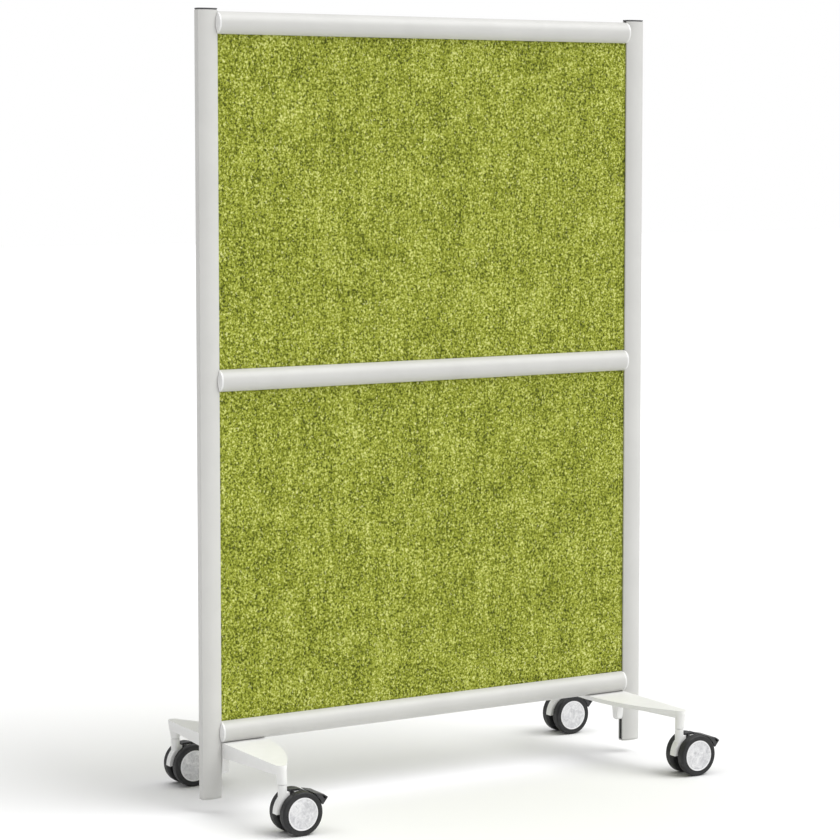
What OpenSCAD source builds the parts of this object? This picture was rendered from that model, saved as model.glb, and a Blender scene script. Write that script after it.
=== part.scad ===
// Mobile acoustic screen: two posts, three round rails, two felt panels,
// two T-shaped feet and four twin-wheel brake castors that swivel.
// X runs along the screen's width, Y through its thickness, Z up.
// Z = 0 is the floor. The front faces -Y.

/* [Frame] */
// Overall height from the floor to the top of the posts
total_h = 1800; // [1500:10:2100]
// Overall width across the two posts
frame_w = 1205; // [900:5:1800]
// Height of the post's lower end above the floor
post_bottom = 31; // [20:1:45]
// Width of a post, along the screen
post_w = 49; // [44:1:56]
// Depth of the post's flat sides
post_side = 17.5; // [16:0.5:22]
// How far the front and back faces bow out beyond the sides
post_bow = 6; // [4:0.5:8]
// Outside diameter of the rails
rail_d = 50.8; // [46:0.2:56]
// Wall of the rail tube
rail_wall = 3; // [2:0.5:4]
// Drop from the top of the posts to the top rail's centre
top_rail_drop = 31.5; // [28:0.5:60]
// Height of the middle rail's centre
mid_rail_z = 974.5; // [800:0.5:1000]
// Height of the bottom rail's centre
low_rail_z = 180.5; // [176:0.5:260]

/* [Panels] */
// Thickness of the stiff board inside a panel
board_t = 5; // [4:0.5:6]
// Thickness of the felt skin on each face
felt_t = 2.5; // [2:0.5:3]
// How deep a panel's edge sits in the posts and rails
panel_grip = 8; // [6:1:9]

/* [Feet] */
// Height of the top of the foot plate
foot_top = 156.5; // [154:0.5:160]
// Thickness of the foot plate
foot_t = 10; // [8:1:12]
// Width of the foot plate at the post
foot_w = 108; // [90:1:120]
// Width of the foot plate at its tips
foot_tip_w = 27; // [26:1:32]
// Depth of the foot below its top at the post
foot_mid_depth = 36; // [34:1:40]
// Depth of the foot below its top near its tips
foot_tip_depth = 22; // [20:1:26]
// Height of the lower end of the foot's legs
leg_bottom = 113; // [112:1:116]
// Distance from the screen's middle plane to a castor stem
stem_y = 264; // [220:1:320]

/* [Castors] */
// Wheel diameter
wheel_d = 98; // [94:1:100]
// Width of each of the two wheels
wheel_w = 24; // [22:1:26]
// Gap between the two wheels
wheel_gap = 21; // [20:0.5:24]
// Distance from the stem's axis back to the axle
trail = 33.5; // [32:0.5:36]
// Diameter of the disc that covers a wheel's outer face
disc_d = 73; // [68:1:76]
// Width of the brake pedal
pedal_w = 62; // [50:1:66]

/* [Hidden] */
$fn = 96;

// ---- derived sizes ----
cut = 1;                                // how far a cutter runs past what it cuts
half_w = frame_w / 2;
post_x = half_w - post_w / 2;           // a post's centre line
inner_x = half_w - post_w;              // a post's inner side
cap_t = 2.5;                            // thickness of the caps on the post ends
cap_neck = 1.2;                         // narrower neck between a cap and the post
bow_r = (pow(post_w / 2, 2) + pow(post_bow, 2)) / (2 * post_bow);
post_wall = 2.2;
corner_r = 2.5;                         // rounding of the post's four long edges
mouth_w = 2 * felt_t + board_t + 1;     // mouth of the groove in each post
slot_w = mouth_w + 5;                   // the groove is wider behind its two lips
slot_depth = 14;
rail_zs = [low_rail_z, mid_rail_z, total_h - top_rail_drop];
rail_r = rail_d / 2;
bore_r = rail_r - rail_wall;
flange_t = 2.5;                         // a rail's end fitting, between its tube and the post
end_reach = 9;                          // how far that fitting wraps round the post
rail_len = 2 * (inner_x - flange_t);
panel_t = board_t + 2 * felt_t;
panel_len = 2 * (inner_x + panel_grip);
play = 0.25;                            // gap all round between loose fitted pieces
groove_w = panel_t + 2 * play;
groove_depth = rail_r - sqrt(pow(rail_r, 2) - pow(panel_t / 2, 2)) + panel_grip;
groove_wall = 2;
nut_size = [6, slot_w - 2 * play, 16];  // a nut that slides in the post's groove
t_lip = 2;                              // thickness of the lips that the nuts pull against

// castor
wheel_r = wheel_d / 2;
disc_r = disc_d / 2;
stem_inset = 17;                        // from the post's inner side to a stem's axis
stem_x = inner_x - stem_inset;          // a stem's distance from the screen's middle
axle_r = 4;
axle_gap = 0.05;                        // running clearance around the axle
stem_r = 5.5;
pivot_r = 7;
swivel_gap = 0.05;                      // running clearance around the stem's pivot
pivot_len = 34;
neck_r = 10.1;
neck_top = leg_bottom - 0.9;
body_w = wheel_gap - 2;                 // the housing's width between the wheels
hood_r = wheel_r + 4;
pedal_tip = 63;                         // pedal tip's distance past the axle
pedal_pivot = [6, 14];                  // the pedal's pivot, from the axle
pedal_pin_r = 3;
arm_w = 8.4;                            // width of the pedal's arm between the cheeks
channel_w = arm_w + 0.8;
hook_w = 17;                            // width of the pedal's hook beside the neck

// The whole part is shifted so that its bounding box is centred on X = 0.
mid_x = (stem_x + trail + pedal_tip - half_w) / 2;

FL = [-1, -1];
FR = [1, -1];
RL = [-1, 1];
RR = [1, 1];

grey = [0.84, 0.84, 0.82];
white = [0.95, 0.95, 0.94];
black = [0.1, 0.1, 0.1];
lime = [0.6, 0.7, 0.2];

// Puts a child drawn about the screen's middle into the part's frame.
module framed() {
    translate([-mid_x, 0, 0]) children();
}

// Mirrors a child drawn for the right-hand side onto side -1 or 1.
module sided(side) {
    mirror([side < 0 ? 1 : 0, 0, 0]) children();
}

// ---- posts ----
// Outline of a post grown outwards by g, flat on both sides and bowed front and back.
module post_outline(g) {
    w = post_w / 2 + g;
    lens = bow_r + g;
    centre = post_side / 2 + post_bow - bow_r;
    round_r = corner_r + g;
    fillet = [w - round_r, -centre - sqrt(pow(lens - round_r, 2) - pow(w - round_r, 2))];
    touch = [0, -centre] + (fillet - [0, -centre]) * lens / (lens - round_r);
    difference() {
        intersection() {
            square([2 * w, 2 * (post_side + post_bow)], center = true);
            intersection_for (end = [-1, 1])
                translate([0, end * centre]) circle(r = lens, $fn = 180);
        }
        for (sx = [0, 1], sy = [0, 1]) mirror([sx, 0]) mirror([0, sy])
            difference() {
                polygon([
                    fillet,
                    [w + cut, fillet[1]],
                    [w + cut, touch[1] - 2 * cut],
                    touch + (touch - fillet),
                ]);
                translate(fillet) circle(r = round_r);
            }
    }
}

// Section of the extrusion for the right-hand post, its groove facing -X.
module post_section() {
    inner = -post_w / 2;
    web_x = inner + slot_depth;
    difference() {
        post_outline(0);
        translate([inner - cut, -mouth_w / 2]) square([slot_depth + cut, mouth_w]);
        translate([inner + t_lip, -slot_w / 2]) square([slot_depth - t_lip, slot_w]);
        intersection() {
            post_outline(-post_wall);
            translate([web_x + post_wall, -post_w / 2]) square([post_w, post_w]);
        }
    }
}

module post(side) {
    color(grey) framed() sided(side)
        translate([post_x, 0, post_bottom + cap_t + cap_neck])
            linear_extrude(total_h - post_bottom - 2 * (cap_t + cap_neck)) post_section();
}

module left_post() { post(-1); }
module right_post() { post(1); }

// Cap on each post's end: a plate on a narrower neck. Direction up is 1 or -1.
module post_caps(z, up, tone) {
    color(tone) framed()
        for (side = [-1, 1]) translate([side * post_x, 0, z]) mirror([0, 0, up > 0 ? 0 : 1]) {
            translate([0, 0, -cap_t]) linear_extrude(cap_t) post_outline(-0.3);
            translate([0, 0, -cap_t - cap_neck]) linear_extrude(cap_neck) post_outline(-1.6);
        }
}

module post_top_caps() { post_caps(total_h, 1, "dimgray"); }
module post_bottom_caps() { post_caps(post_bottom, -1, grey); }

// ---- rails ----
// Section of a round rail, with a closed groove on each side named in grooves.
module rail_section(grooves) {
    wall_w = groove_w + 2 * groove_wall;
    wall_d = groove_depth + groove_wall;
    difference() {
        union() {
            difference() {
                circle(r = rail_r);
                circle(r = bore_r);
            }
            for (up = grooves) intersection() {
                circle(r = rail_r - rail_wall / 2);
                translate([-wall_w / 2, up > 0 ? rail_r - wall_d : -rail_r])
                    square([wall_w, wall_d]);
            }
        }
        for (up = grooves)
            translate([-groove_w / 2, up > 0 ? rail_r - groove_depth : -rail_r - cut])
                square([groove_w, groove_depth + cut]);
    }
}

module rail(z, grooves) {
    color(grey) framed() translate([-rail_len / 2, 0, z]) rotate([90, 0, 90])
        linear_extrude(rail_len) rail_section(grooves);
}

module top_rail() { rail(rail_zs[2], rail_grooves[2]); }
module middle_rail() { rail(rail_zs[1], rail_grooves[1]); }
module bottom_rail() { rail(rail_zs[0], rail_grooves[0]); }

// Casting in each rail end: a plug in the tube, a flange that closes the tube's end
// against the post, and a dome that wraps over the post's front and back.
plug_len = 30;
plug_half_h = rail_r - groove_depth - groove_wall - play;
dome_rise = 7.5;
dome_gap = 0.8;                         // open line between a dome and its post
dome_r = (pow(rail_r, 2) + pow(dome_rise, 2)) / (2 * dome_rise);
flange_r = rail_r - 0.2;
dome_angle = asin(flange_r / dome_r);
dome_steps = 8;
bolt_r = 4;
bolt_hole_r = bolt_r + 0.2;
head_r = 6.5;
head_h = 4;

module end_fitting(grooves) {
    difference() {
        union() {
            rotate([0, 90, 0]) rotate_extrude() polygon(concat(
                [[0, -flange_t], [flange_r, -flange_t]],
                [for (i = [dome_steps:-1:0]) let (a = dome_angle * i / dome_steps)
                    [dome_r * sin(a), end_reach - dome_r + dome_r * cos(a)]]
            ));
            intersection() {
                translate([-plug_len - flange_t, 0, 0]) rotate([0, 90, 0])
                    cylinder(r = bore_r - play, h = plug_len + cut);
                cube([3 * plug_len, 2 * rail_r, 2 * plug_half_h], center = true);
            }
        }
        translate([post_w / 2, 0, -rail_r - cut])
            linear_extrude(2 * (rail_r + cut)) post_outline(dome_gap);
        translate([-plug_len - flange_t - cut, 0, 0]) rotate([0, 90, 0])
            cylinder(r = bolt_hole_r, h = plug_len + flange_t + 2 * cut);
        for (up = grooves)
            translate([
                -flange_t - cut,
                -groove_w / 2,
                up > 0 ? rail_r - groove_depth : -rail_r - cut,
            ])
                cube([flange_t + 2 * cut, groove_w, groove_depth + cut]);
    }
}

rail_grooves = [[1], [-1, 1], [-1]];

module rail_end_fittings() {
    color(white) framed()
        for (side = [-1, 1], i = [0, 1, 2]) sided(side)
            translate([inner_x, 0, rail_zs[i]]) end_fitting(rail_grooves[i]);
}

// Bolt along +X with its head at the origin's inboard side and a shank of length l.
module bolt(l) {
    rotate([0, 90, 0]) {
        translate([0, 0, -head_h]) cylinder(r = head_r, h = head_h);
        translate([0, 0, -cut]) cylinder(r = bolt_r, h = l + cut);
    }
}

// Bolts through the plugs into the nuts in the posts' grooves.
module rail_bolts() {
    color("silver") framed()
        for (side = [-1, 1], z = rail_zs) sided(side)
            translate([inner_x - flange_t - plug_len, 0, z])
                bolt(plug_len + flange_t + slot_depth - 2);
}

// ---- panels ----
// One layer of a panel between the rails numbered low and low + 1.
module panel_layer(low, y, t) {
    z0 = rail_zs[low] + rail_r - groove_depth + play;
    z1 = rail_zs[low + 1] - rail_r + groove_depth - play;
    framed() translate([-panel_len / 2, y, z0]) cube([panel_len, t, z1 - z0]);
}

module board(low) { color("tan") panel_layer(low, -board_t / 2, board_t); }
module front_felt(low) { color(lime) panel_layer(low, -board_t / 2 - felt_t, felt_t); }
module back_felt(low) { color(lime) panel_layer(low, board_t / 2, felt_t); }

module upper_board() { board(1); }
module lower_board() { board(0); }
module upper_front_felt() { front_felt(1); }
module upper_back_felt() { back_felt(1); }
module lower_front_felt() { front_felt(0); }
module lower_back_felt() { back_felt(0); }

// Rubber strips in the posts' grooves: behind the panels' edges, and flush with the
// mouth below the feet.
module groove_strips() {
    back_t = slot_depth - panel_grip - play;
    foot_z = post_bottom + cap_t + cap_neck;
    color(black) framed()
        for (side = [-1, 1]) sided(side) {
            for (low = [0, 1])
                translate([inner_x + panel_grip + play, play - slot_w / 2, rail_zs[low] + rail_r + 1])
                    cube([
                        back_t,
                        slot_w - 2 * play,
                        rail_zs[low + 1] - rail_zs[low] - 2 * rail_r - 2,
                    ]);
            translate([inner_x + 0.5, play - mouth_w / 2, foot_z])
                cube([slot_depth - 0.5, mouth_w - 2 * play, lug_bottom - 1 - foot_z]);
        }
}

// ---- feet ----
tip_r = foot_tip_w / 2;
foot_swell = foot_w - foot_tip_w;
foot_arc_r = (pow(stem_y, 2) + pow(foot_swell, 2)) / (2 * foot_swell);
lip = 3;                                // how far the plate's edge stands out past the web
web_t = 10;
lug_w = 26;
lug_t = 17;
lug_bottom = foot_top - 72;
lug_r = 9;                              // rounding of the lug's lower end
tongue_d = 10;                          // reach of the foot's tongue into the post

// Plan of the right-hand foot: x is the distance inboard of the post's inner side.
module foot_plan() {
    intersection() {
        translate([0, -stem_y]) square([foot_w, 2 * stem_y]);
        translate([foot_w - foot_arc_r, 0]) circle(r = foot_arc_r, $fn = 360);
    }
    for (end = [-1, 1]) translate([tip_r, end * stem_y]) circle(r = tip_r);
}

// Side view of the web that stiffens the plate's straight edge.
module web_side() {
    polygon([
        [-stem_y, 0], [stem_y, 0],
        [stem_y, 1 - foot_tip_depth], [lug_w / 2, 1 - foot_mid_depth],
        [-lug_w / 2, 1 - foot_mid_depth], [-stem_y, 1 - foot_tip_depth],
    ]);
}

// Leg at a tip: a leaning cone that runs from the tip's round down to the stem, so
// its inboard side stays upright and its outer side slants in.
leg_r = 10.3;
leg_swell = tip_r - 0.6 - leg_r;          // the leg's growth in radius up to the plate

module leg() {
    h = foot_top - foot_t - leg_bottom + 1;
    lean = atan2(stem_inset - tip_r, h);
    intersection() {
        translate([stem_inset, 0, leg_bottom]) rotate([0, -lean, 0]) translate([0, 0, -h / 2])
            cylinder(r1 = leg_r - leg_swell / 2, r2 = leg_r + leg_swell * 3 / 2, h = 2 * h);
        translate([0, -foot_w / 2, leg_bottom]) cube([foot_w, foot_w, h]);
    }
}

// Lug against the post: a tongue that narrows downwards to a rounded end.
module lug() {
    corner_z = lug_r - 2;
    intersection() {
        translate([0, 0, lug_bottom]) rotate([90, 0, 90]) linear_extrude(lug_t) {
            translate([0, lug_r]) circle(r = lug_r);
            polygon([
                [-lug_r, lug_r],
                [lug_r, lug_r],
                [lug_w / 2, 40],
                [lug_w / 2, foot_top - lug_bottom - 1],
                [-lug_w / 2, foot_top - lug_bottom - 1],
                [-lug_w / 2, 40],
            ]);
        }
        translate([0, lug_w / 2 + cut, lug_bottom]) rotate([90, 0, 0])
            linear_extrude(lug_w + 2 * cut) {
                translate([0, corner_z]) square([lug_t, foot_top - lug_bottom]);
                translate([0, corner_z - lug_r]) square([lug_t - lug_r, lug_r + 1]);
                translate([lug_t - lug_r, corner_z]) circle(r = lug_r);
            }
    }
}

// T tongue that slides up the post's groove and holds the foot to the post.
module tongue() {
    tongue_z = lug_bottom + lug_r + 2;
    tongue_h = foot_top - 4 - tongue_z;
    translate([-tongue_d, 0, tongue_z]) {
        translate([0, play - mouth_w / 2, 0])
            cube([tongue_d + 1, mouth_w - 2 * play, tongue_h]);
        translate([0, play - slot_w / 2, 0])
            cube([tongue_d - t_lip - play, slot_w - 2 * play, tongue_h]);
    }
}

module foot(side) {
    stem_hole_h = foot_top - foot_t - leg_bottom;
    color(white) framed() sided(side) translate([inner_x, 0, 0]) mirror([1, 0, 0]) {
        tongue();
        difference() {
            union() {
                translate([0, 0, foot_top - foot_t]) linear_extrude(foot_t) foot_plan();
                translate([lip, 0, foot_top - 1]) rotate([90, 0, 90]) linear_extrude(web_t) web_side();
                for (end = [-1, 1]) translate([0, end * stem_y, 0]) leg();
                lug();
            }
            for (end = [-1, 1]) translate([stem_inset, end * stem_y, leg_bottom - cut])
                cylinder(r = stem_r, h = stem_hole_h + cut);
            translate([-cut, 0, rail_zs[0]]) rotate([0, 90, 0])
                cylinder(r = rail_r + 0.7, h = foot_w + 2 * cut);
        }
    }
}

module left_foot() { foot(-1); }
module right_foot() { foot(1); }

// Nuts behind the lips of the posts' grooves, for the feet and the rails.
module slot_nuts() {
    color("dimgray") framed()
        for (side = [-1, 1], z = rail_zs) sided(side)
            translate([inner_x + t_lip, 0, z]) difference() {
                translate([0, -nut_size[1] / 2, -nut_size[2] / 2]) cube(nut_size);
                translate([-cut, 0, 0]) rotate([0, 90, 0])
                    cylinder(r = bolt_r, h = nut_size[0] + 2 * cut);
            }
}

// ---- castors ----
// Moves a child drawn about a stem's foot on the floor to the castor at corner c.
module at_castor(c) {
    framed() translate([c[0] * stem_x, c[1] * stem_y, 0]) children();
}

// Moves a child drawn in side view about the axle, x back and y up, to its place
// and gives it a width across the wheels.
module across_castor(c, width) {
    at_castor(c) translate([trail, width / 2, wheel_r]) rotate([90, 0, 0])
        linear_extrude(width) children();
}

// Threaded stems: fixed in the legs, with a smooth pivot that the housing turns on.
module castor_stems() {
    color("silver")
        for (c = [FL, FR, RL, RR]) at_castor(c) {
            translate([0, 0, leg_bottom]) cylinder(r = stem_r, h = foot_top - foot_t - leg_bottom - 2);
            translate([0, 0, leg_bottom - pivot_len]) cylinder(r = pivot_r, h = pivot_len);
        }
}

// Side view of the housing: a hood between the wheels, cut off level with the axle,
// with bosses for the axle and the pedal's pivot.
module housing_side() {
    intersection() {
        circle(r = hood_r);
        translate([-hood_r, 0]) square([hood_r + 2, 47]);
    }
    circle(r = axle_r + 11);
    translate(pedal_pivot) circle(r = pedal_pin_r + 7);
}

module housing(c) {
    neck_z = wheel_r + 24;
    color(white) difference() {
        union() {
            across_castor(c, body_w) housing_side();
            at_castor(c) translate([0, 0, neck_z]) cylinder(r = neck_r, h = neck_top - neck_z);
        }
        across_castor(c, channel_w) translate([-4, axle_r + 1]) square([34, hood_r]);
        across_castor(c, body_w + 2 * cut)
            translate([arm_x - 1.8, 24]) square([11.5, hood_r]);
        at_castor(c) translate([0, 0, leg_bottom - pivot_len - cut])
            cylinder(r = pivot_r + swivel_gap, h = pivot_len + 2 * cut);
        across_castor(c, body_w + 2 * cut) circle(r = axle_r);
        across_castor(c, body_w + 2 * cut) translate(pedal_pivot)
            circle(r = pedal_pin_r + axle_gap);
    }
}

module axle(c) {
    color("silver") across_castor(c, wheel_gap + 2 * (hub_h - 0.5)) circle(r = axle_r);
}

// Brake pedal: a shoe over both wheels on an arm that runs back over the housing,
// with a prong beside the neck and a pivot held between the housing's cheeks.
arm_x = -18.7;
arm_top = wheel_r + 3;
arm_t = 3;

module hook_side() {
    translate([arm_x, arm_top - arm_t]) square([5 - arm_x, arm_t]);
    translate([arm_x, 27]) square([arm_t, arm_top - 27]);
}

module pedal_arm_side() {
    translate(pedal_pivot) circle(r = pedal_pin_r + 4);
    polygon([
        [-1, 14], [-1, arm_top], [5, arm_top], [7, 40], [24, 36.5], [31, 42],
        [53, 37.5], [56, 32], [50, 17], [40, 26], [26, 30], [13, 14],
    ]);
}

module pedal_shoe_side() {
    difference() {
        polygon([
            [29.5, 42.5], [53, 37.5], [pedal_tip, 30.5],
            [pedal_tip - 2, 27.5], [51, 15.5], [46, 15.5],
        ]);
        circle(r = wheel_r + 2.2);
    }
}

// Blind hollow in each end of the shoe.
module shoe_hollow_side() {
    polygon([[48.5, 35.5], [53, 34.5], [58.5, 30.5], [55.5, 25.5]]);
}

module pedal(c) {
    hollow_depth = 12;
    color(black) {
        across_castor(c, arm_w) pedal_arm_side();
        across_castor(c, hook_w) hook_side();
        across_castor(c, body_w) translate(pedal_pivot) circle(r = pedal_pin_r);
        difference() {
            across_castor(c, pedal_w) pedal_shoe_side();
            difference() {
                across_castor(c, pedal_w + 2 * cut) shoe_hollow_side();
                across_castor(c, pedal_w - 2 * hollow_depth) shoe_hollow_side();
            }
        }
    }
}

// One wheel's pieces are drawn as profiles: x is the radius and y runs out from
// the wheel's inner face.
hub_r = 10;
hub_h = wheel_w - 4;
hub_web = [6, 9];                       // inner and outer faces of the wheel's web
rim_r = wheel_r - 11;                   // the rim's outside, under the tyre
rim_t = 3.5;
cover_z = wheel_w - 3.7;                // inner face of the disc that covers the wheel
inner_shoulder = 8;
outer_shoulder = 4.5;

function arc_points(centre, r, from, to, steps) = [
    for (i = [0:steps])
        let (angle = from + (to - from) * i / steps)
            centre + r * [cos(angle), sin(angle)]
];

module turned(c, out) {
    at_castor(c) translate([trail, out * wheel_gap / 2, wheel_r])
        rotate([-out * 90, 0, 0]) rotate_extrude() children();
}

module wheel(c, out) {
    color(black) turned(c, out) polygon([
        [axle_r + axle_gap, 0],
        [hub_r, 0],
        [hub_r, hub_web[0]],
        [rim_r - rim_t, hub_web[0]],
        [rim_r - rim_t, 1],
        [rim_r, 1],
        [rim_r, wheel_w - 1],
        [disc_r + 0.1, wheel_w - 1],
        [disc_r + 0.1, cover_z - 0.3],
        [rim_r - rim_t, cover_z - 0.3],
        [rim_r - rim_t, hub_web[1]],
        [hub_r, hub_web[1]],
        [hub_r, hub_h],
        [axle_r + axle_gap, hub_h],
    ]);
}

module tyre(c, out) {
    color([0.13, 0.13, 0.13]) turned(c, out) polygon(concat(
        [[rim_r, 0]],
        arc_points([wheel_r - inner_shoulder, inner_shoulder], inner_shoulder, -90, 0, 8),
        arc_points([wheel_r - outer_shoulder, wheel_w - outer_shoulder], outer_shoulder, 0, 90, 6),
        [[rim_r, wheel_w]]
    ));
}

// Cover disc: a raised rim round a very shallow dome.
module disc(c, out) {
    dome_r0 = disc_r - 3;
    dome_h = 0.9;
    color([0.88, 0.88, 0.88]) turned(c, out) polygon(concat(
        [[0, cover_z], [disc_r, cover_z], [disc_r, wheel_w - 1], [disc_r - 0.8, wheel_w]],
        [[disc_r - 2.4, wheel_w], [dome_r0, wheel_w - 0.9]],
        [for (i = [1:12]) [dome_r0 * cos(90 * i / 12), wheel_w - 0.9 + dome_h * sin(90 * i / 12)]]
    ));
}

module fl_housing() { housing(FL); }
module fl_axle() { axle(FL); }
module fl_pedal() { pedal(FL); }
module fl_front_wheel() { wheel(FL, -1); }
module fl_front_tyre() { tyre(FL, -1); }
module fl_front_disc() { disc(FL, -1); }
module fl_back_wheel() { wheel(FL, 1); }
module fl_back_tyre() { tyre(FL, 1); }
module fl_back_disc() { disc(FL, 1); }

module fr_housing() { housing(FR); }
module fr_axle() { axle(FR); }
module fr_pedal() { pedal(FR); }
module fr_front_wheel() { wheel(FR, -1); }
module fr_front_tyre() { tyre(FR, -1); }
module fr_front_disc() { disc(FR, -1); }
module fr_back_wheel() { wheel(FR, 1); }
module fr_back_tyre() { tyre(FR, 1); }
module fr_back_disc() { disc(FR, 1); }

module rl_housing() { housing(RL); }
module rl_axle() { axle(RL); }
module rl_pedal() { pedal(RL); }
module rl_front_wheel() { wheel(RL, -1); }
module rl_front_tyre() { tyre(RL, -1); }
module rl_front_disc() { disc(RL, -1); }
module rl_back_wheel() { wheel(RL, 1); }
module rl_back_tyre() { tyre(RL, 1); }
module rl_back_disc() { disc(RL, 1); }

module rr_housing() { housing(RR); }
module rr_axle() { axle(RR); }
module rr_pedal() { pedal(RR); }
module rr_front_wheel() { wheel(RR, -1); }
module rr_front_tyre() { tyre(RR, -1); }
module rr_front_disc() { disc(RR, -1); }
module rr_back_wheel() { wheel(RR, 1); }
module rr_back_tyre() { tyre(RR, 1); }
module rr_back_disc() { disc(RR, 1); }

left_post();
right_post();
post_top_caps();
post_bottom_caps();
top_rail();
middle_rail();
bottom_rail();
rail_end_fittings();
rail_bolts();
upper_board();
lower_board();
upper_front_felt();
upper_back_felt();
lower_front_felt();
lower_back_felt();
groove_strips();
left_foot();
right_foot();
slot_nuts();
castor_stems();
fl_housing();
fl_axle();
fl_pedal();
fl_front_wheel();
fl_front_tyre();
fl_front_disc();
fl_back_wheel();
fl_back_tyre();
fl_back_disc();
fr_housing();
fr_axle();
fr_pedal();
fr_front_wheel();
fr_front_tyre();
fr_front_disc();
fr_back_wheel();
fr_back_tyre();
fr_back_disc();
rl_housing();
rl_axle();
rl_pedal();
rl_front_wheel();
rl_front_tyre();
rl_front_disc();
rl_back_wheel();
rl_back_tyre();
rl_back_disc();
rr_housing();
rr_axle();
rr_pedal();
rr_front_wheel();
rr_front_tyre();
rr_front_disc();
rr_back_wheel();
rr_back_tyre();
rr_back_disc();
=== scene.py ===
import math

import bmesh
import bpy
import numpy as np
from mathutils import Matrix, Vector


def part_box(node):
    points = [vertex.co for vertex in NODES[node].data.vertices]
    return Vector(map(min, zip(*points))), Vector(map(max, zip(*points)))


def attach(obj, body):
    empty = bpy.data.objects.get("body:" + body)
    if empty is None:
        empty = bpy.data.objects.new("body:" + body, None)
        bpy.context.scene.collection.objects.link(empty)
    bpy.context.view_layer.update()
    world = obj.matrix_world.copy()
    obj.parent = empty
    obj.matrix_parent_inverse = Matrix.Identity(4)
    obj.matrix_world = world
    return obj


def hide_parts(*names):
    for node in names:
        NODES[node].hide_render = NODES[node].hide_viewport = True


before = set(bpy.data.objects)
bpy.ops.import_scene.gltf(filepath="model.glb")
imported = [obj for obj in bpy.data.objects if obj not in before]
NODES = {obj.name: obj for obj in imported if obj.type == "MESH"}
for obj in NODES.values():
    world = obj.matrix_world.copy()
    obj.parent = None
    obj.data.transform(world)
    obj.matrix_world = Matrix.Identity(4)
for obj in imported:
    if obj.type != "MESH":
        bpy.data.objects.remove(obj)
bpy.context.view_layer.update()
CORNERS = ("fl", "fr", "rl", "rr")


# ---- shader helpers ----
class Shader:
    """A Principled material with short calls for the nodes used here."""

    def __init__(self, name, roughness=0.5, **sockets):
        self.material = bpy.data.materials.new(name)
        self.material.use_nodes = True
        self.tree = self.material.node_tree
        self.bsdf = self.tree.nodes["Principled BSDF"]
        self.bsdf.inputs["Roughness"].default_value = roughness
        for key, value in sockets.items():
            self.bsdf.inputs[key.replace("_", " ")].default_value = value
        self.coord = self.node("ShaderNodeTexCoord").outputs["Object"]

    def node(self, kind, **settings):
        made = self.tree.nodes.new(kind)
        for key, value in settings.items():
            setattr(made, key, value)
        return made

    def put(self, value, socket):
        if isinstance(value, bpy.types.NodeSocket):
            self.tree.links.new(value, socket)
        elif isinstance(value, tuple) and len(value) == 3 and socket.type == "RGBA":
            socket.default_value = (*value, 1)
        else:
            socket.default_value = value

    def stretch(self, scale, offset=(0, 0, 0)):
        mapping = self.node("ShaderNodeMapping")
        mapping.inputs["Scale"].default_value = scale
        mapping.inputs["Location"].default_value = offset
        self.put(self.coord, mapping.inputs["Vector"])
        return mapping.outputs["Vector"]

    def noise(self, scale, detail=2.0, roughness=0.5, distortion=0.0, vector=None):
        made = self.node("ShaderNodeTexNoise")
        self.put(vector or self.coord, made.inputs["Vector"])
        made.inputs["Scale"].default_value = scale
        made.inputs["Detail"].default_value = detail
        made.inputs["Roughness"].default_value = roughness
        made.inputs["Distortion"].default_value = distortion
        return made.outputs["Fac"]

    def cells(self, scale):
        made = self.node("ShaderNodeTexVoronoi", feature="F1")
        self.put(self.coord, made.inputs["Vector"])
        made.inputs["Scale"].default_value = scale
        return made.outputs["Distance"]

    def math(self, kind, a, b, c=0.0):
        made = self.node("ShaderNodeMath", operation=kind)
        for value, socket in zip((a, b, c), made.inputs):
            self.put(value, socket)
        return made.outputs["Value"]

    def span(self, value, low, high, to_low=0.0, to_high=1.0):
        made = self.node("ShaderNodeMapRange")
        for v, name in (
            (value, "Value"),
            (low, "From Min"),
            (high, "From Max"),
            (to_low, "To Min"),
            (to_high, "To Max"),
        ):
            self.put(v, made.inputs[name])
        return made.outputs["Result"]

    def ramp(self, value, stops):
        made = self.node("ShaderNodeValToRGB")
        elements = made.color_ramp.elements
        while len(elements) < len(stops):
            elements.new(0.5)
        for element, (place, colour) in zip(elements, stops):
            element.position = place
            element.color = (*colour, 1)
        self.put(value, made.inputs["Fac"])
        return made.outputs["Color"]

    def mix(self, share, a, b, blend="MIX"):
        made = self.node("ShaderNodeMix", data_type="RGBA", blend_type=blend)
        self.put(share, made.inputs["Factor"])
        self.put(a, made.inputs["A"])
        self.put(b, made.inputs["B"])
        return made.outputs["Result"]

    def bump(self, height, distance, strength=1.0, under=None):
        made = self.node("ShaderNodeBump")
        made.inputs["Strength"].default_value = strength
        made.inputs["Distance"].default_value = distance
        self.put(height, made.inputs["Height"])
        if under is not None:
            self.put(under, made.inputs["Normal"])
        return made.outputs["Normal"]

    def done(self, colour=None, roughness=None, normal=None):
        for value, name in (
            (colour, "Base Color"),
            (roughness, "Roughness"),
            (normal, "Normal"),
        ):
            if value is not None:
                self.put(value, self.bsdf.inputs[name])
        return self.material


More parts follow.
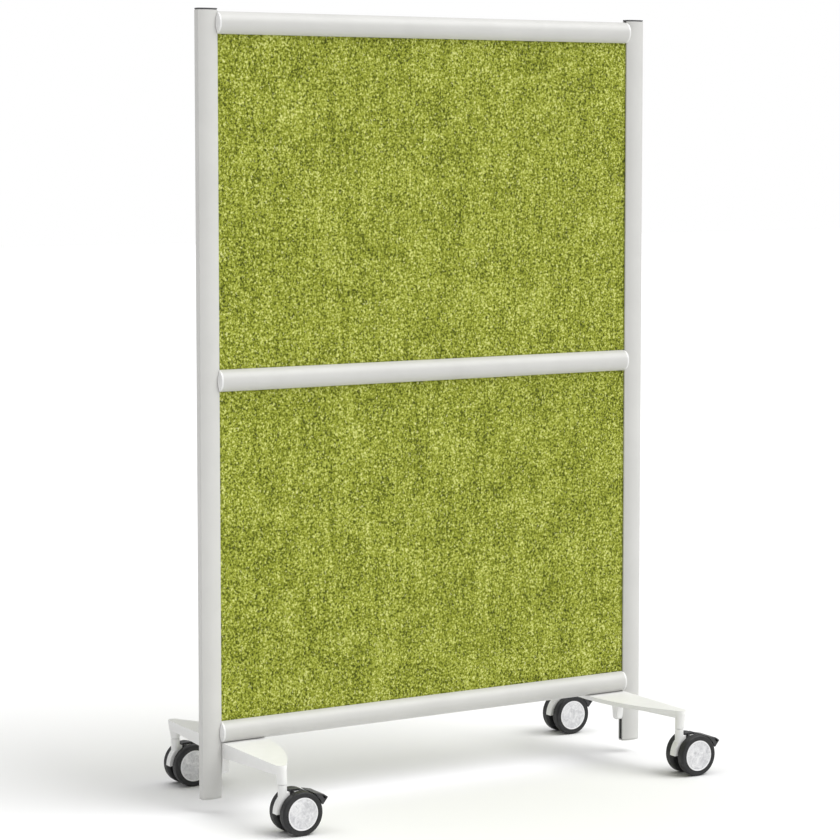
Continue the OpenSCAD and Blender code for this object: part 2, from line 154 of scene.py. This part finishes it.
def painted(name, base, along, roughness=0.42):
    """Powder-coated aluminium: orange peel, faint die lines along the extrusion, dust."""
    s = Shader(name, Specular_IOR_Level=0.45)
    lines_scale = tuple(2.0 if axis == along else 900.0 for axis in "XYZ")
    lines = s.noise(1.0, 2.0, 0.6, vector=s.stretch(lines_scale))
    peel = s.noise(950, 3.0, 0.55)
    cloud = s.noise(7, 4.0, 0.6, 0.6)
    grain = s.noise(2600, 1.0)
    dark = tuple(c * 0.955 for c in base)
    light = tuple(min(1.0, c * 1.03) for c in base)
    colour = s.ramp(cloud, [(0.3, dark), (0.55, base), (0.75, light)])
    colour = s.mix(s.span(grain, 0.3, 0.7, 0.0, 0.10), colour, tuple(c * 0.82 for c in base))
    rough = s.span(s.noise(60, 4.0, 0.6), 0.3, 0.7, roughness - 0.05, roughness + 0.07)
    normal = s.bump(lines, 0.00006, 0.5)
    normal = s.bump(peel, 0.00010, 0.55, normal)
    return s.done(colour, rough, normal)


def felt():
    """Pressed heathered felt: pale and dark tufts over soft streaks and cloudy patches."""
    s = Shader("felt", roughness=0.95, Specular_IOR_Level=0.12)
    s.bsdf.inputs["Sheen Weight"].default_value = 0.10
    s.bsdf.inputs["Sheen Roughness"].default_value = 0.55
    s.bsdf.inputs["Sheen Tint"].default_value = (0.75, 0.8, 0.4, 1)
    tufts = s.noise(175, 2.0, 0.55, 0.3)
    salt = s.noise(300, 1.0, 0.5, 0.4, s.stretch((1.0, 1.0, 0.8), (1.3, 4.1, 2.6)))
    fibres = s.noise(700, 2.0, 0.6, 1.6)
    streaks = s.noise(1.0, 3.0, 0.6, 0.4, s.stretch((95, 95, 7)))
    patches = s.noise(11, 4.0, 0.62, 0.8)
    value = s.math("MULTIPLY_ADD", s.math("SUBTRACT", tufts, 0.5), 1.5, 0.5)
    for part, gain in ((salt, 1.25), (fibres, 0.5), (streaks, 0.45), (patches, 0.50)):
        value = s.math("MULTIPLY_ADD", s.math("SUBTRACT", part, 0.5), gain, value)
    colour = s.ramp(
        value,
        [
            (0.10, (0.050, 0.062, 0.008)),
            (0.32, (0.150, 0.176, 0.015)),
            (0.52, (0.278, 0.318, 0.031)),
            (0.72, (0.420, 0.462, 0.074)),
            (0.94, (0.700, 0.730, 0.260)),
        ],
    )
    pale_spots = s.noise(235, 1.0, 0.5, 0.8, s.stretch((1.0, 1.0, 0.8), (3.1, 1.7, 9.2)))
    colour = s.mix(s.span(pale_spots, 0.66, 0.74, 0.0, 0.75), colour, (0.76, 0.78, 0.34))
    dark_spots = s.noise(215, 1.0, 0.5, 0.8, s.stretch((1, 1, 0.8), (7.7, 2.2, 5.5)))
    colour = s.mix(s.span(dark_spots, 0.64, 0.73, 0.0, 0.8), colour, (0.045, 0.055, 0.012))
    normal = s.bump(value, 0.0010, 0.5)
    normal = s.bump(s.noise(1500, 3.0, 0.7, 2.0), 0.0005, 0.6, normal)
    return s.done(colour, None, normal)


def moulded(name, base, roughness=0.35, bump=0.00006, scale=700, specks=0.06):
    """Moulded plastic: fine spark-eroded grain with slight sheen changes."""
    s = Shader(name, Specular_IOR_Level=0.45)
    cloud = s.noise(35, 4.0, 0.6, 0.5)
    colour = s.ramp(
        cloud,
        [
            (0.3, tuple(c * (1 - specks) for c in base)),
            (0.7, tuple(min(1.0, c * (1 + specks)) for c in base)),
        ],
    )
    rough = s.span(s.noise(120, 3.0), 0.3, 0.7, roughness - 0.05, roughness + 0.08)
    normal = s.bump(s.noise(scale, 3.0, 0.6), bump, 0.7)
    return s.done(colour, rough, normal)


def tyre_rubber():
    s = Shader("tyre_rubber", Specular_IOR_Level=0.4)
    dust = s.noise(55, 5.0, 0.65, 0.4)
    colour = s.ramp(dust, [(0.35, (0.013, 0.013, 0.014)), (0.75, (0.028, 0.028, 0.029))])
    rough = s.span(s.noise(160, 3.0), 0.3, 0.7, 0.42, 0.60)
    normal = s.bump(s.noise(1400, 3.0, 0.65), 0.00012, 0.6)
    return s.done(colour, rough, normal)


def cover_disc():
    """Wheel cover: mottled pale plastic, as if brushed in many directions."""
    s = Shader("cover_disc", Specular_IOR_Level=0.5)
    s.bsdf.inputs["Coat Weight"].default_value = 0.25
    s.bsdf.inputs["Coat Roughness"].default_value = 0.15
    smears = s.noise(55, 5.0, 0.62, 1.4)
    fine = s.noise(260, 3.0, 0.6, 0.8)
    value = s.math("MULTIPLY_ADD", s.math("SUBTRACT", fine, 0.5), 0.45, smears)
    colour = s.ramp(
        value,
        [(0.30, (0.50, 0.50, 0.52)), (0.5, (0.66, 0.66, 0.675)), (0.70, (0.83, 0.83, 0.84))],
    )
    rough = s.span(smears, 0.3, 0.7, 0.28, 0.5)
    normal = s.bump(fine, 0.00012, 0.5)
    return s.done(colour, rough, normal)


def plated_steel():
    s = Shader("plated_steel", Metallic=1.0)
    brushed = s.noise(1.0, 3.0, 0.6, vector=s.stretch((120, 1600, 1600)))
    spangle = s.cells(260)
    colour = s.ramp(spangle, [(0.0, (0.50, 0.50, 0.50)), (0.8, (0.62, 0.62, 0.63))])
    rough = s.span(brushed, 0.3, 0.7, 0.28, 0.42)
    return s.done(colour, rough, s.bump(brushed, 0.00005, 0.5))


def fibre_board():
    s = Shader("fibre_board", roughness=0.85)
    chips = s.noise(180, 5.0, 0.7, 1.5)
    colour = s.ramp(
        chips, [(0.3, (0.36, 0.26, 0.15)), (0.55, (0.55, 0.42, 0.27)), (0.8, (0.68, 0.55, 0.38))]
    )
    return s.done(colour, None, s.bump(chips, 0.0003, 0.6))


FRAME_GREY = (0.61, 0.607, 0.585)
post_paint = painted("post_paint", FRAME_GREY, "Z")
rail_paint = painted("rail_paint", FRAME_GREY, "X")
foot_paint = moulded("foot_paint", (0.85, 0.85, 0.835), 0.38, 0.0001, 800, 0.02)
felt_green = felt()
end_white = moulded("end_white", (0.80, 0.80, 0.79), 0.24, 0.00004, 900, 0.02)
cap_grey = moulded("cap_grey", (0.075, 0.075, 0.078), 0.45, 0.0001, 800, 0.15)
housing_white = moulded("housing_white", (0.83, 0.83, 0.82), 0.3, 0.00005, 900, 0.02)
pedal_black = moulded("pedal_black", (0.03, 0.03, 0.032), 0.36, 0.0001, 900, 0.25)
wheel_black = moulded("wheel_black", (0.028, 0.028, 0.03), 0.42, 0.0001, 700, 0.25)
# near-black colour for the strips set in the posts' grooves
groove_black = moulded("groove_black", (0.02, 0.02, 0.02), 0.6, 0.0001, 900, 0.3)
tyre_black = tyre_rubber()
disc_pale = cover_disc()
# painted highlight: the lighter colour given to the wheel covers' rounded rims
disc_rim_highlight = moulded("disc_rim_highlight", (0.86, 0.86, 0.87), 0.22, 0.00003, 900, 0.015)
steel = plated_steel()
board_brown = fibre_board()


# ---- carried-over CAD nodes: finish and rounded edges ----
WELD_GAP = 0.000004
FLAT_ANGLE = math.radians(0.4)


def finish_node(name, material, edge=0.0, angle=32.0, segments=2):
    o = NODES[name]
    o.data.materials.clear()
    o.data.materials.append(material)
    normals = o.data.attributes.get("custom_normal")
    if normals is not None:
        o.data.attributes.remove(normals)
    o.data.polygons.foreach_set("use_smooth", [True] * len(o.data.polygons))
    weld = o.modifiers.new("weld", "WELD")
    weld.merge_threshold = WELD_GAP
    flat = o.modifiers.new("flat", "DECIMATE")
    flat.decimate_type = "DISSOLVE"
    flat.angle_limit = FLAT_ANGLE
    if edge:
        bevel = o.modifiers.new("edge", "BEVEL")
        bevel.width = edge
        bevel.segments = segments
        bevel.limit_method = "ANGLE"
        bevel.angle_limit = math.radians(angle)
        bevel.use_clamp_overlap = True
        bevel.miter_outer = "MITER_ARC"
    weighted = o.modifiers.new("shade", "WEIGHTED_NORMAL")
    weighted.weight = 50
    weighted.keep_sharp = False


RIM_TURN = 0.985  # a face whose normal leans more than this off the axle is on the rim
RIM_START = 0.93  # as a share of the cover's radius


def rim_painted_highlight(name):
    """Gives a wheel cover's rounded edge a smoother finish and a lighter colour; the lighter colour is a
    painted highlight along the rim.
    """
    mesh = NODES[name].data
    mesh.materials.append(disc_rim_highlight)
    low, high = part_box(name)
    radius = (high.x - low.x) / 2
    to_world = NODES[name].matrix_world
    for face in mesh.polygons:
        at = to_world @ face.center - (low + high) / 2
        turned = abs((to_world.to_3x3() @ face.normal).normalized().y) < RIM_TURN
        if turned or math.hypot(at.x, at.z) > RIM_START * radius:
            face.material_index = 1


for n in ("left_post", "right_post"):
    finish_node(n, post_paint, 0.0004)
finish_node("post_top_caps", cap_grey, 0.0006)
finish_node("post_bottom_caps", post_paint, 0.0006)
for n in ("top_rail", "middle_rail", "bottom_rail"):
    finish_node(n, rail_paint, 0.0003)
finish_node("rail_end_fittings", end_white, 0.0004)
for n in ("left_foot", "right_foot"):
    finish_node(n, foot_paint, 0.0012, segments=3)
for n in ("rail_bolts", "slot_nuts", "castor_stems"):
    finish_node(n, steel, 0.0003)
for n in ("upper_board", "lower_board"):
    finish_node(n, board_brown, 0.0002)
finish_node("groove_strips", groove_black, 0.0005)
for c in CORNERS:
    finish_node(c + "_housing", housing_white, 0.0008, segments=3)
    finish_node(c + "_axle", steel, 0.0004)
    finish_node(c + "_pedal", pedal_black, 0.0007, segments=3)
    for end in ("front", "back"):
        finish_node(f"{c}_{end}_wheel", wheel_black, 0.0004)
        finish_node(f"{c}_{end}_tyre", tyre_black, 0.0)
        finish_node(f"{c}_{end}_disc", disc_pale, 0.0)
        # the rim's lighter colour is a painted highlight
        rim_painted_highlight(f"{c}_{end}_disc")


# ---- felt skins ----
FELT_CELL = 0.007
FELT_WAVES = 14
FELT_SWELL = 0.00012
FELT_REST_DEPTH = 0.0003
FELT_NIP = 0.0007
NIP_REACH = 0.006
SIDE_GRIP = 0.008  # how much of a skin's edge is inside the posts' grooves
RAIL_GRIP = 0.010  # the same inside the rails' grooves


def felt_skin(name, node, facing, seed):
    """A felt sheet bonded to its board: even, with the slight swell of pressed felt,
    nipped in where it enters the rails and posts."""
    low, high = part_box(node)
    width, height = high.x - low.x, high.z - low.z
    nx, nz = int(width / FELT_CELL), int(height / FELT_CELL)
    rng = np.random.default_rng(seed)
    xs = np.linspace(low.x, high.x, nx + 1)
    zs = np.linspace(low.z, high.z, nz + 1)
    gx, gz = np.meshgrid(xs, zs)
    swell = np.zeros_like(gx)
    for _ in range(FELT_WAVES):
        kx, kz = rng.uniform(6, 42, 2)
        swell += np.sin(kx * gx + rng.uniform(0, 6.28)) * np.sin(kz * gz + rng.uniform(0, 6.28))
    swell = FELT_SWELL * swell / 2.2
    inset = np.minimum(
        np.minimum(gx - low.x, high.x - gx) - SIDE_GRIP,
        np.minimum(gz - low.z, high.z - gz) - RAIL_GRIP,
    )
    nip = FELT_NIP * np.exp(-np.clip(inset, 0, None) / NIP_REACH)
    thick = high.y - low.y
    depth = np.clip(FELT_REST_DEPTH + nip + swell, 0.00002, thick * 0.6)
    inner_y, outer_y = (high.y, low.y) if facing < 0 else (low.y, high.y)
    outer = outer_y - facing * depth
    bm = bmesh.new()
    face_rows = []
    for y in (outer, np.full_like(outer, inner_y)):
        face_rows.append(
            [[bm.verts.new((gx[j, i], y[j, i], gz[j, i])) for i in range(nx + 1)] for j in range(nz + 1)]
        )
    for layer, rows in enumerate(face_rows):
        for j in range(nz):
            for i in range(nx):
                quad = [rows[j][i], rows[j][i + 1], rows[j + 1][i + 1], rows[j + 1][i]]
                if (layer == 0) == (facing > 0):
                    quad.reverse()
                bm.faces.new(quad)
    a, b = face_rows
    rim = [(0, i) for i in range(nx)] + [(j, nx) for j in range(nz)]
    rim += [(nz, i) for i in range(nx, 0, -1)] + [(j, 0) for j in range(nz, 0, -1)]
    for k, (j, i) in enumerate(rim):
        j2, i2 = rim[(k + 1) % len(rim)]
        bm.faces.new((a[j][i], b[j][i], b[j2][i2], a[j2][i2]))
    bmesh.ops.recalc_face_normals(bm, faces=bm.faces)
    mesh = bpy.data.meshes.new(name)
    bm.to_mesh(mesh)
    bm.free()
    mesh.polygons.foreach_set("use_smooth", [True] * len(mesh.polygons))
    mesh.set_sharp_from_angle(angle=math.radians(40))
    mesh.materials.append(felt_green)
    piece = bpy.data.objects.new(name, mesh)
    bpy.context.scene.collection.objects.link(piece)
    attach(piece, "frame")
    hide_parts(node)
    return piece


felt_skin("felt_upper_front", "upper_front_felt", -1, 11)
felt_skin("felt_upper_back", "upper_back_felt", 1, 12)
felt_skin("felt_lower_front", "lower_front_felt", -1, 13)
felt_skin("felt_lower_back", "lower_back_felt", 1, 14)


# ---- floor, light, camera ----
floor_mesh = bpy.data.meshes.new("floor")
reach = 30
corners = [(-reach, -reach, 0), (reach, -reach, 0), (reach, reach, 0), (-reach, reach, 0)]
floor_mesh.from_pydata(corners, [], [(0, 1, 2, 3)])
floor = bpy.data.objects.new("floor", floor_mesh)
bpy.context.scene.collection.objects.link(floor)
floor_shader = Shader("floor_pale", roughness=0.9, Specular_IOR_Level=0.1)
floor_mesh.materials.append(floor_shader.done((0.86, 0.86, 0.86)))

world = bpy.data.worlds.new("studio")
bpy.context.scene.world = world
world.use_nodes = True
backdrop = world.node_tree.nodes["Background"]
backdrop.inputs["Color"].default_value = (1, 1, 1, 1)
# the backdrop is seen pure white and lights the object more softly
ray = world.node_tree.nodes.new("ShaderNodeLightPath")
sky = world.node_tree.nodes.new("ShaderNodeMapRange")
sky.inputs["To Min"].default_value = 0.45
sky.inputs["To Max"].default_value = 1.0
world.node_tree.links.new(ray.outputs["Is Camera Ray"], sky.inputs["Value"])
world.node_tree.links.new(sky.outputs["Result"], backdrop.inputs["Strength"])


def sun(name, towards, strength, angle):
    data = bpy.data.lights.new(name, "SUN")
    data.energy = strength
    data.angle = math.radians(angle)
    lamp = bpy.data.objects.new(name, data)
    lamp.rotation_mode = "QUATERNION"
    lamp.rotation_quaternion = Vector(towards).to_track_quat("-Z", "Y")
    bpy.context.scene.collection.objects.link(lamp)


sun("key", (-0.50, 0.50, -0.85), 2.4, 50)
sun("back", (0.10, -0.32, -0.95), 1.0, 60)

camera_data = bpy.data.cameras.new("camera")
camera_data.sensor_width = 36
camera_data.lens = 114.493
camera_data.shift_x = 0.004
camera_data.shift_y = -0.08
camera_data.clip_start, camera_data.clip_end = 0.1, 100
camera = bpy.data.objects.new("camera", camera_data)
camera.location = (-3.2638, -5.3088, 1.5072)
heading, pitch = 0.5443, 0.0790
view = Vector(
    (
        math.sin(heading) * math.cos(pitch),
        math.cos(heading) * math.cos(pitch),
        -math.sin(pitch),
    )
)
camera.rotation_mode = "QUATERNION"
camera.rotation_quaternion = view.to_track_quat("-Z", "Y")
bpy.context.scene.collection.objects.link(camera)
bpy.context.scene.camera = camera
bpy.context.scene.view_settings.view_transform = "Standard"
